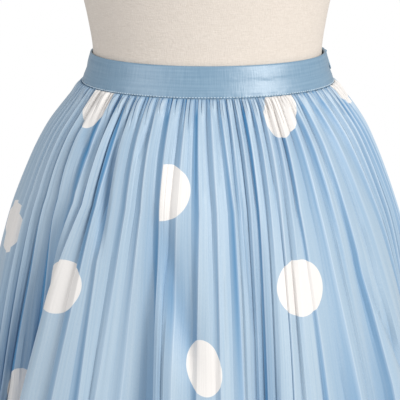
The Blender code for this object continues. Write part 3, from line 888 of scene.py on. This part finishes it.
def tape_material():
    tape = Shader("woven_tape", (0.24, 0.38, 0.52), 0.8)
    where = tape.add("ShaderNodeTexCoord").outputs["Object"]
    rows = tape.noise(tape.stretched(where, (300.0, 300.0, 1400.0)), 1.0, 1.0)
    tape.set(Base_Color=tape.mix(rows, (0.19, 0.32, 0.45, 1.0), (0.30, 0.45, 0.58, 1.0)))
    tape.set(Normal=tape.bump(rows, 0.5, 0.0004))
    return tape.made


def make_skirt():
    finish = satin_material()
    for panel in PANELS:
        points, smooth, across, down, place, painted_highlights, shades = panel_grid(panel)
        made, quads = grid_object(panel.name, points, finish)
        add_uv(made.data, quads, place, down)
        dots = lattice_dots(panel, across, smooth)
        if panel.node == "skirt_front":
            dots.extend(FRONT_DOTS)
        offsets = made.data.attributes.new("dot_offset", "FLOAT_VECTOR", "CORNER")
        offsets.data.foreach_set("vector", dot_offsets(across, down, smooth, dots, quads).reshape(-1))
        # Painted highlight, by point
        edge = made.data.attributes.new("pressed", "FLOAT", "POINT")
        edge.data.foreach_set("value", painted_highlights.reshape(-1))
        # Painted shade, by face corner
        closed = made.data.attributes.new("closed", "FLOAT", "CORNER")
        closed.data.foreach_set("value", painted_shade_by_corner(shades).reshape(-1))
        made.data.set_sharp_from_angle(angle=SHARP_ANGLE)
        add_wall(made, CLOTH_WALL)
        ride_for(made, panel.node)


# The band's mesh, its doubled wall, the soft line along its middle and its row of stitches
BAND_COLUMNS = 300
BAND_RISES = np.linspace(0.0, BAND_TOP - BAND_BOTTOM, 17)
BAND_WALL = 0.0018
MIDDLE_RISE = 0.0155
MIDDLE_REACH = 0.0008
MIDDLE_DEPTH = 0.00018
STITCH_PULL = 0.0007
STITCH_PULL_REACH = 0.0014
STITCHES = 262
STITCH_RISE = 0.0012
STITCH_LENGTH = 0.0021
STITCH_RADIUS = 0.0005
STITCH_SIDES = 6
STITCH_RINGS = ((-1.0, 0.35), (-0.7, 0.9), (0.0, 1.0), (0.7, 0.9), (1.0, 0.35))


def band_ring(angles, rise, inset):
    sides = [reach - inset for reach in reaches(BAND, rise)]
    ring = oval(angles, *sides)
    return np.concatenate((ring, np.full((len(angles), 1), BAND_BOTTOM + rise)), axis=1)


def make_band():
    """The waistband, a doubled strip of satin with a stitched lower edge and a soft middle line."""
    half_slit = SEAM_GAP / BAND[0].right
    first = SEAM_BEHIND_SIDE + half_slit
    last = SEAM_BEHIND_SIDE + FULL_TURN - half_slit
    angles = np.linspace(first, last, BAND_COLUMNS + 1)
    rings = []
    for rise in BAND_RISES:
        stitched = math.exp(-(((rise - STITCH_RISE) / STITCH_PULL_REACH) ** 2))
        middle = math.exp(-(((rise - MIDDLE_RISE) / MIDDLE_REACH) ** 2))
        pucker = 0.5 + 0.5 * np.cos(angles * STITCHES)
        inset = STITCH_PULL * stitched * pucker + MIDDLE_DEPTH * middle
        ring = band_ring(angles, rise, 0.0)
        reach = np.linalg.norm(ring[:, :2], axis=1, keepdims=True)
        ring[:, :2] *= 1 - np.broadcast_to(inset, angles.shape)[:, None] / reach
        rings.append(ring)
    points = np.array(rings)[::-1]
    made, quads = grid_object("satin_band", points, band_material())
    across = np.linalg.norm(np.diff(points, axis=1), axis=2)
    across = np.tile(np.concatenate(([0.0], np.cumsum(across[0]))), (len(points), 1))
    down = np.broadcast_to((BAND_TOP - points[:, :1, 2]), across.shape)
    add_uv(made.data, quads, across, down)
    add_wall(made, BAND_WALL)
    ride_for(made, "waistband")


def make_stitches():
    """A row of short raised stitches round the band's lower edge, each a small capsule."""
    mesh = bpy.data.meshes.new("satin_stitches")
    shape = bmesh.new()
    turn = FULL_TURN / STITCHES
    for n in range(1, STITCHES - 1):
        angle = SEAM_BEHIND_SIDE + turn * (n + 0.5)
        before, here, after = band_ring(np.array([angle - turn, angle, angle + turn]), STITCH_RISE, 0.0)
        along = Vector(after - before).normalized()
        out = along.cross(Vector((0, 0, 1)))
        up = out.cross(along)
        rings = []
        for place, reach in STITCH_RINGS:
            centre = Vector(here) + along * place * STITCH_LENGTH / 2
            sides = [FULL_TURN * side / STITCH_SIDES for side in range(STITCH_SIDES)]
            round_it = [(out * math.cos(a) + up * math.sin(a)) * STITCH_RADIUS * reach for a in sides]
            rings.append([shape.verts.new(centre + spoke) for spoke in round_it])
        for first, second in zip(rings, rings[1:]):
            for side in range(STITCH_SIDES):
                other = (side + 1) % STITCH_SIDES
                shape.faces.new((first[side], first[other], second[other], second[side]))
        shape.faces.new(rings[0])
        shape.faces.new(rings[-1])
    bmesh.ops.recalc_face_normals(shape, faces=shape.faces)
    shape.to_mesh(mesh)
    shape.free()
    mesh.shade_smooth()
    mesh.materials.append(thread_material())
    made = link(bpy.data.objects.new("satin_stitches", mesh))
    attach(made, ROOT)


# The torso's mesh: close rings round its lower edge, then even ones up to the neck
TORSO_EDGE_RINGS = (FORM_BOTTOM, 0.830, 12)
TORSO_RINGS = (0.834, NECK_TOP, 130)
TORSO_COLUMNS = 160


def make_torso():
    heights = np.concatenate((np.linspace(*TORSO_EDGE_RINGS), np.linspace(*TORSO_RINGS)))
    angles = np.linspace(0, FULL_TURN, TORSO_COLUMNS, endpoint=False)
    rings = []
    for z in heights:
        ring = oval(angles, *reaches(FORM, z))
        rings.append(np.concatenate((ring, np.full((len(angles), 1), z)), axis=1))
    points = np.array(rings)[::-1]
    made = grid_object("linen_torso", points, linen_material(), closed=True)[0]
    shape = bmesh.new()
    shape.from_mesh(made.data)
    bmesh.ops.holes_fill(shape, edges=[e for e in shape.edges if e.is_boundary], sides=0)
    bmesh.ops.recalc_face_normals(shape, faces=shape.faces)
    shape.to_mesh(made.data)
    shape.free()
    ride_for(made, "form_torso")


def dress_nodes():
    """Materials for the nodes that keep the part's own solids."""
    metal = metal_material()
    enamel = enamel_material()
    finishes = {
        "form_neck_cap": wood_material(),
        "form_flange": metal,
        "form_pole": metal,
        "form_hub": metal,
        "form_foot": metal,
        "zip_tape": tape_material(),
        "zip_slider": enamel,
        "zip_pull": enamel,
    }
    for node, finish in finishes.items():
        for obj in bpy.data.objects:
            if obj.type == "MESH" and (obj.name == node or obj.name.startswith(node + ".")):
                obj.data.materials.clear()
                obj.data.materials.append(finish)


# Round soft lights: azimuth turns from the front, -Y, towards +X
Light = namedtuple("Light", "name azimuth elevation distance size power colour")
LIGHTS = (
    Light("key", 44, 27, 2.4, 1.1, 43, (1.0, 0.985, 0.96)),
    Light("fill", -48, 20, 2.8, 1.6, 20, (0.97, 0.98, 1.0)),
)
LIGHT_AIM = Vector((0, 0, 0.9))
SKY_STRENGTH = 0.50
FLOOR_RADIUS = 1.4
FLOOR_SIDES = 96
FLOOR_DOWN = 0.0005


def look_at(obj, target):
    obj.rotation_mode = "QUATERNION"
    obj.rotation_quaternion = (Vector(target) - obj.location).to_track_quat("-Z", "Y")


def add_light(row):
    light = bpy.data.lights.new(row.name, "AREA")
    light.shape = "DISK"
    light.size = row.size
    light.energy = row.power
    light.color = row.colour
    made = link(bpy.data.objects.new(row.name, light))
    a = math.radians(row.azimuth)
    e = math.radians(row.elevation)
    back = Vector((math.sin(a) * math.cos(e), -math.cos(a) * math.cos(e), math.sin(e)))
    made.location = LIGHT_AIM + back * row.distance
    look_at(made, LIGHT_AIM)


def make_stage():
    scene = bpy.context.scene
    scene.view_settings.view_transform = "Standard"
    camera = bpy.data.cameras.new("camera")
    camera.lens = CAMERA_LENS
    eye = link(bpy.data.objects.new("camera", camera))
    back = Vector((0, -math.cos(CAMERA_ELEVATION), math.sin(CAMERA_ELEVATION)))
    eye.location = CAMERA_AIM + back * CAMERA_DISTANCE
    look_at(eye, CAMERA_AIM)
    scene.camera = eye
    world = bpy.data.worlds.new("studio")
    scene.world = world
    world.use_nodes = True
    tree = world.node_tree
    sky = tree.nodes["Background"]
    sky.inputs["Color"].default_value = (1, 1, 1, 1)
    sky.inputs["Strength"].default_value = SKY_STRENGTH
    seen = tree.nodes.new("ShaderNodeBackground")
    seen.inputs["Color"].default_value = (1, 1, 1, 1)
    seen.inputs["Strength"].default_value = 1.0
    path = tree.nodes.new("ShaderNodeLightPath")
    mix = tree.nodes.new("ShaderNodeMixShader")
    tree.links.new(path.outputs["Is Camera Ray"], mix.inputs[0])
    tree.links.new(sky.outputs[0], mix.inputs[1])
    tree.links.new(seen.outputs[0], mix.inputs[2])
    tree.links.new(mix.outputs[0], tree.nodes["World Output"].inputs["Surface"])
    for row in LIGHTS:
        add_light(row)
    mesh = bpy.data.meshes.new("floor")
    shape = bmesh.new()
    bmesh.ops.create_circle(shape, cap_ends=True, radius=FLOOR_RADIUS, segments=FLOOR_SIDES)
    shape.to_mesh(mesh)
    shape.free()
    floor = link(bpy.data.objects.new("floor", mesh))
    floor.location.z = -FLOOR_DOWN
    mesh.materials.append(Shader("pale_floor", (0.86, 0.86, 0.86), 0.7).made)


make_stage()
make_skirt()
make_band()
make_stitches()
make_torso()
dress_nodes()
